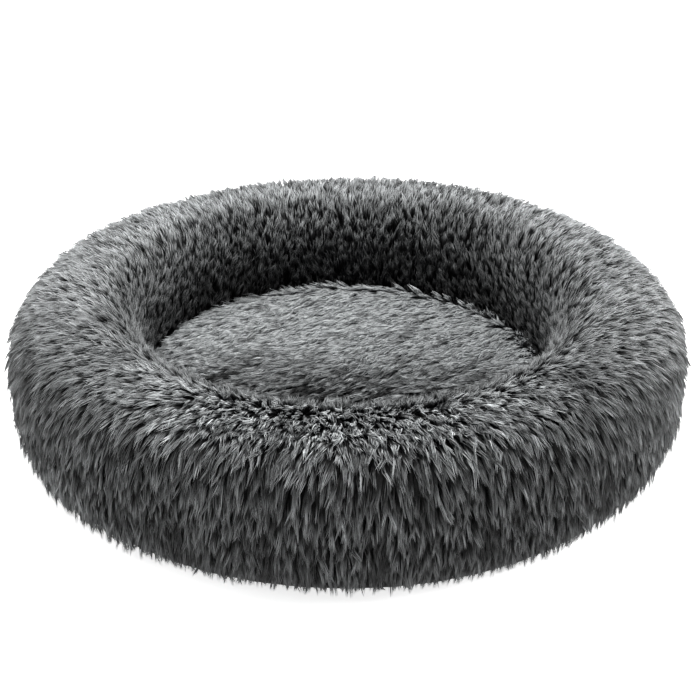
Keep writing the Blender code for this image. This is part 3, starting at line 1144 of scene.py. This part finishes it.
def coil_mesh(name, side):
    low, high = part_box("zip_coil_" + name)
    middle = (low.z + high.z) / 2
    far = max(abs(low.y), abs(high.y))
    bm = bmesh.new()
    count = int(2 * ZIP_HALF / TOOTH_PITCH)
    for index in range(count):
        x = (index - count / 2 + (0.5 if side > 0 else 0.0)) * TOOTH_PITCH + TOOTH_PITCH / 4
        made = bmesh.ops.create_cone(bm, cap_ends=True, segments=6, radius1=0.0004,
                                     radius2=0.0004, depth=far - 0.0010)
        bmesh.ops.rotate(bm, verts=made["verts"], cent=(0, 0, 0),
                         matrix=Matrix.Rotation(math.pi / 2, 3, "X"))
        bmesh.ops.scale(bm, verts=made["verts"], vec=(1, 1, 2.0))
        bmesh.ops.translate(bm, verts=made["verts"],
                            vec=(x, side * (far + 0.0010) / 2, middle))
        head = bmesh.ops.create_icosphere(bm, subdivisions=1, radius=TOOTH_HEAD)
        bmesh.ops.scale(bm, verts=head["verts"], vec=(1.1, 1.0, 1.6))
        bmesh.ops.translate(bm, verts=head["verts"], vec=(x, side * 0.00102, middle))
    return mesh_from(bm, "zip_teeth_" + name)


for name, side in (("front", -1), ("back", 1)):
    ribbon = add_piece("zip_ribbon_" + name, tape_mesh(name, side), tape_look,
                       "bed", "zip_tape_" + name)
    teeth = add_piece("zip_teeth_" + name, coil_mesh(name, side), coil_look,
                      "bed", "zip_coil_" + name)
    print("zip side", name, len(teeth.data.polygons), "faces")

# %% [markdown]
# ## Stitches and label
# Lines of thread hold the tapes, the label and the seams. A stitch is the short bulge of
# thread that shows between two needle holes, so one stretched ball is made for each. The
# label is a small strip of satin, sewn down at one edge and left blank.

# %% Stitch the zip, the label and the seams
TAPE_STITCH_LINES = (0.0068, 0.0135)
TAPE_END_STITCHES = (0.0040, 0.0148)
STITCH_LENGTH = 0.0026
STITCH_STEP = 0.0036
STITCH_RADIUS = 0.00026


def thread_look():
    look = Look("sewing_thread")
    twist = look.noise(2500.0, 2.0)
    look.set(Base_Color=look.ramp(twist, [(0.2, tint(0.05)), (0.8, tint(0.12))]),
             Roughness=0.75 - 0.1 * twist)
    return look


def stitch_row(bm, start, end, height):
    start, end = Vector(start), Vector(end)
    run = end - start
    count = max(1, round(run.length / STITCH_STEP))
    turn = Matrix.Rotation(math.atan2(run.y, run.x), 3, "Z") @ Matrix.Rotation(
        math.pi / 2, 3, "Y")
    for index in range(count):
        place = start + run * ((index + 0.5) / count)
        made = bmesh.ops.create_icosphere(bm, subdivisions=1, radius=1.0)
        bmesh.ops.scale(bm, verts=made["verts"],
                        vec=(STITCH_RADIUS, STITCH_RADIUS, STITCH_LENGTH / 2))
        bmesh.ops.rotate(bm, verts=made["verts"], cent=(0, 0, 0), matrix=turn)
        bmesh.ops.translate(bm, verts=made["verts"], vec=(place.x, place.y, height))


def stitch_ring(bm, radius, height):
    """The same thread carried around a circle in short straight runs."""
    count = int(math.tau * radius / STITCH_STEP)
    for index in range(count):
        angles = [math.tau * (index + side) / count for side in (0.0, 1.0)]
        start, end = [(radius * math.cos(a), radius * math.sin(a), 0) for a in angles]
        stitch_row(bm, start, end, height)


def zip_stitches():
    bm = bmesh.new()
    reach = SLOT_LENGTH_HALF + 0.0055
    tape_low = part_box("zip_tape_back")[0].z
    for side in (-1, 1):
        for offset in TAPE_STITCH_LINES:
            stitch_row(bm, (-reach, side * offset, 0), (reach, side * offset, 0), tape_low)
    for x in (-reach - 0.0010, reach + 0.0010):
        for side in (-1, 1):
            near, far = (side * offset for offset in TAPE_END_STITCHES)
            stitch_row(bm, (x, near, 0), (x, far, 0), tape_low)
    near = LABEL_LOW.y + 0.0016
    stitch_row(bm, (LABEL_LOW.x + 0.001, near, 0), (LABEL_HIGH.x - 0.001, near, 0),
               LABEL_HIGH.z - 0.0003)
    return mesh_from(bm, "zip_stitches")


def seam_stitches():
    """Topstitching beside the hem and beside the seam of the middle."""
    bm = bmesh.new()
    slope = (MIDDLE_LIFT - DOT_HEIGHT) / (FOOT_RISE_START - MIDDLE_EDGE)
    seam = MIDDLE_EDGE + 0.0025
    stitch_ring(bm, FOOT_OUTER - 0.0035, DOT_HEIGHT)
    stitch_ring(bm, seam, MIDDLE_LIFT - slope * (seam - MIDDLE_EDGE))
    return mesh_from(bm, "seam_stitches")


thread = thread_look()
add_piece("zip_stitches", zip_stitches(), thread, "bed")
add_piece("seam_stitches", seam_stitches(), thread, "bed")


def satin_look():
    look = Look("label_satin_weave")
    rib = (look.axes()[0] * (math.tau / 0.0005)).sin()
    cloud = look.noise(60.0, 2.0)
    look.set(Base_Color=look.ramp(cloud, [(0.3, (0.70, 0.70, 0.67)), (0.7, (0.80, 0.80, 0.78))]),
             Roughness=0.42 + 0.08 * rib, Normal=look.bump(rib, 0.25, 0.0001))
    return look


def label_mesh():
    """Satin folded over at the seam, with its free edge a little curled."""
    bm = bmesh.new()
    bmesh.ops.create_grid(bm, x_segments=16, y_segments=12, size=0.5)
    size = LABEL_HIGH - LABEL_LOW
    bmesh.ops.scale(bm, verts=bm.verts, vec=(size.x, size.y, 1))
    bmesh.ops.translate(bm, verts=bm.verts,
                        vec=((LABEL_LOW.x + LABEL_HIGH.x) / 2,
                             (LABEL_LOW.y + LABEL_HIGH.y) / 2, LABEL_HIGH.z))
    for vert in bm.verts:
        free = (vert.co.y - LABEL_LOW.y) / size.y
        vert.co.z -= 0.0012 * free ** 2 * (1 + 0.3 * math.sin(260 * vert.co.x))
    grown = bmesh.ops.extrude_face_region(bm, geom=bm.faces[:])
    low = [item for item in grown["geom"] if isinstance(item, bmesh.types.BMVert)]
    bmesh.ops.translate(bm, verts=low, vec=(0, 0, -0.00035))
    return mesh_from(bm, "label_satin_piece")


label = add_piece("label_blank", label_mesh(), satin_look(), "bed",
                  "care_label")

# %% [markdown]
# ## The slider and its pull
# The slider is cast: two shield-shaped plates on a thin neck, with flanges that press the
# coils together and a small bridge underneath. The pull is stamped from sheet, with two
# arms and a rod that turns in the bridge. Both are made from bevelled blocks at the packed
# solids' sizes, so that the joints move them without touching anything.

# %% Cast the slider
SLIDER_LOW, SLIDER_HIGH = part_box("zip_slider")
SLIDER_MIDDLE = (SLIDER_LOW + SLIDER_HIGH) / 2
PLATE_THICK = 0.0014
PLATE_LOW = 0.0070
PLATE_TAPER = 0.80
PLATE_OVERLAP = 0.0010
FLANGE_TOP = 0.0096
FLANGE_INNER, FLANGE_OUTER = 0.0037, 0.0048
NECK_REACH, NECK_HALF = 0.0026, 0.0004
BRIDGE_REACH, BRIDGE_HALF = 0.0046, 0.0009
POST_INNER = 0.0034


def shield_plate(bm, low_z, thick):
    """A plate that is wide where the two coils enter and narrow where they leave."""
    length = (SLIDER_HIGH.x - SLIDER_LOW.x) / 2
    width = (SLIDER_HIGH.y - SLIDER_LOW.y) / 2
    verts = bmesh.ops.create_cube(bm, size=2.0)["verts"]
    bmesh.ops.scale(bm, verts=verts, vec=(length, width, thick / 2))
    for vert in verts:
        if vert.co.x < 0:
            vert.co.y *= PLATE_TAPER
    for level, offset, segments in ((False, 0.0018, 4), (True, 0.0003, 2)):
        edges = [e for e in edges_of(bm, verts)
                 if (abs(e.verts[0].co.z - e.verts[1].co.z) < 1e-6) == level]
        made = bmesh.ops.bevel(bm, geom=edges, offset=offset, segments=segments,
                               profile=0.5, affect="EDGES", material=-1)
        kept = [v for v in verts if v.is_valid]
        verts = list(dict.fromkeys(kept + [v for f in made["faces"] for v in f.verts]))
    bmesh.ops.translate(bm, verts=verts,
                        vec=(SLIDER_MIDDLE.x, SLIDER_MIDDLE.y, low_z + thick / 2))


def slider_mesh():
    bm = bmesh.new()
    middle = SLIDER_MIDDLE
    shield_plate(bm, PLATE_LOW, PLATE_THICK)
    shield_plate(bm, SLIDER_HIGH.z - PLATE_THICK, PLATE_THICK)
    edged_box(bm, (middle.x - NECK_REACH, -NECK_HALF, PLATE_LOW + PLATE_OVERLAP),
              (middle.x + NECK_REACH, NECK_HALF, SLIDER_HIGH.z - PLATE_OVERLAP), 0.0001, 1)
    for side in (-1, 1):
        low_y, high_y = sorted((side * FLANGE_INNER, side * FLANGE_OUTER))
        edged_box(bm, (middle.x - POST_INNER, low_y, PLATE_LOW + PLATE_OVERLAP),
                  (middle.x + BRIDGE_REACH, high_y, FLANGE_TOP), 0.0003)
        low_x, high_x = sorted((side * POST_INNER, side * BRIDGE_REACH))
        edged_box(bm, (middle.x + low_x, -BRIDGE_HALF, SLIDER_LOW.z + 0.0003),
                  (middle.x + high_x, BRIDGE_HALF, PLATE_LOW + 0.0004), 0.0003)
    edged_box(bm, (middle.x - BRIDGE_REACH, -BRIDGE_HALF, SLIDER_LOW.z),
              (middle.x + BRIDGE_REACH, BRIDGE_HALF, SLIDER_LOW.z + 0.0010), 0.0004)
    return mesh_from(bm, "slider_cast", False)


add_piece("slider_cast", slider_mesh(), metal_look, "slider", "zip_slider")

# %% Stamp the pull
PULL_LOW, PULL_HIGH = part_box("zip_pull")
PULL_THICK = 0.0010
PULL_ARM_START = 0.0058
PULL_WINDOW_START = PULL_ARM_START + 0.0050
ARM_INNER, ARM_OUTER = 0.0014, 0.0026
ARM_HALF = 0.00045
ROD_HALF = 0.0005
HINGE_X = PULL_HIGH.x - ROD_HALF


def stadium(bm, start, end, half):
    """A loop with round ends between two places along X."""
    verts = bmesh.ops.create_circle(bm, cap_ends=False, segments=24, radius=half)["verts"]
    for vert in verts:
        vert.co.x += end if vert.co.x > 1e-6 else start
    return edges_of(bm, verts)


def pull_mesh():
    bm = bmesh.new()
    middle_z = (PULL_LOW.z + PULL_HIGH.z) / 2
    half = (PULL_HIGH.y - PULL_LOW.y) / 2
    far = PULL_LOW.x - HINGE_X
    outer = stadium(bm, far + half, -PULL_ARM_START - half, half)
    inner = stadium(bm, far + half, -PULL_WINDOW_START - half, half * 0.50)
    bmesh.ops.bridge_loops(bm, edges=outer + inner)
    grown = bmesh.ops.extrude_face_region(bm, geom=bm.faces[:])
    top = [item for item in grown["geom"] if isinstance(item, bmesh.types.BMVert)]
    bmesh.ops.translate(bm, verts=top, vec=(0, 0, PULL_THICK))
    bmesh.ops.recalc_face_normals(bm, faces=bm.faces)
    rims = [e for e in bm.edges if len(e.link_faces) == 2
            and e.calc_face_angle(0) > math.radians(60)]
    bmesh.ops.bevel(bm, geom=rims, offset=0.0002, segments=2, profile=0.5,
                    affect="EDGES", material=-1)
    bmesh.ops.translate(bm, verts=bm.verts, vec=(HINGE_X, 0, middle_z - PULL_THICK / 2))
    for side in (-1, 1):
        low_y, high_y = sorted((side * ARM_INNER, side * ARM_OUTER))
        edged_box(bm, (HINGE_X - PULL_ARM_START - 0.0030, low_y, middle_z - ARM_HALF),
                  (HINGE_X + ROD_HALF, high_y, middle_z + ARM_HALF), 0.0002)
    edged_box(bm, (HINGE_X - ROD_HALF, -ARM_OUTER, middle_z - ROD_HALF),
              (HINGE_X + ROD_HALF, ARM_OUTER, middle_z + ROD_HALF), 0.0002)
    return mesh_from(bm, "pull_tab", False)


add_piece("pull_tab", pull_mesh(), metal_look, "pull", "zip_pull")
print("pull spans", [round(v, 4) for v in PULL_LOW], [round(v, 4) for v in PULL_HIGH])

# %% [markdown]
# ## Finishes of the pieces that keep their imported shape
# The liners and fillings are inside, and the binding and the stops are small and simple,
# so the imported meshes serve. They get woven, fibrous and painted finishes.

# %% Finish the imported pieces


def liner_finish():
    """Thin bonded cloth: short fibres laid in every direction."""
    look = Look("liner_bonded_cloth")
    web = look.noise(350.0, 6.0, 0.75)
    look.set(Base_Color=look.ramp(web, [(0.3, (0.58, 0.58, 0.56)), (0.7, (0.78, 0.78, 0.76))]),
             Roughness=0.95 - 0.1 * web, Normal=look.bump(web, 0.4, 0.0004))
    return look


def fibre_finish():
    look = Look("fibre_wadding")
    tuft = look.noise(60.0, 8.0, 0.7)
    look.set(Base_Color=look.ramp(tuft, [(0.3, (0.70, 0.70, 0.68)), (0.7, (0.90, 0.90, 0.88))]),
             Roughness=1.0 - 0.1 * tuft, Normal=look.bump(tuft, 0.8, 0.004))
    return look


def binding_finish():
    """Ribbed tape: its ribs run around the bed's edge, one above the other."""
    look = Look("binding_ribs")
    _, _, z = look.axes()
    rib = (z * (math.tau / 0.0009)).sin()
    grain = look.noise(600.0, 2.0)
    look.set(Base_Color=look.ramp(0.5 + 0.3 * rib + 0.2 * grain,
                                  [(0.1, tint(0.012)), (0.9, tint(0.05))]),
             Roughness=0.85 - 0.1 * grain, Normal=look.bump(rib, 0.5, 0.0002))
    return look


def finish_node(names, look):
    for name in names:
        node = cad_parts[name]
        for slot in node.material_slots:
            slot.material = look.material
        if not node.material_slots:
            node.data.materials.append(look.material)


finish_node(["rim_liner", "seat_liner"], liner_finish())
finish_node(["rim_filling", "seat_filling"], fibre_finish())
finish_node(["hem_binding"], binding_finish())
finish_node(["zip_top_stop_front", "zip_top_stop_back", "zip_bottom_stop"], metal_look)
print("finished the packed pieces")
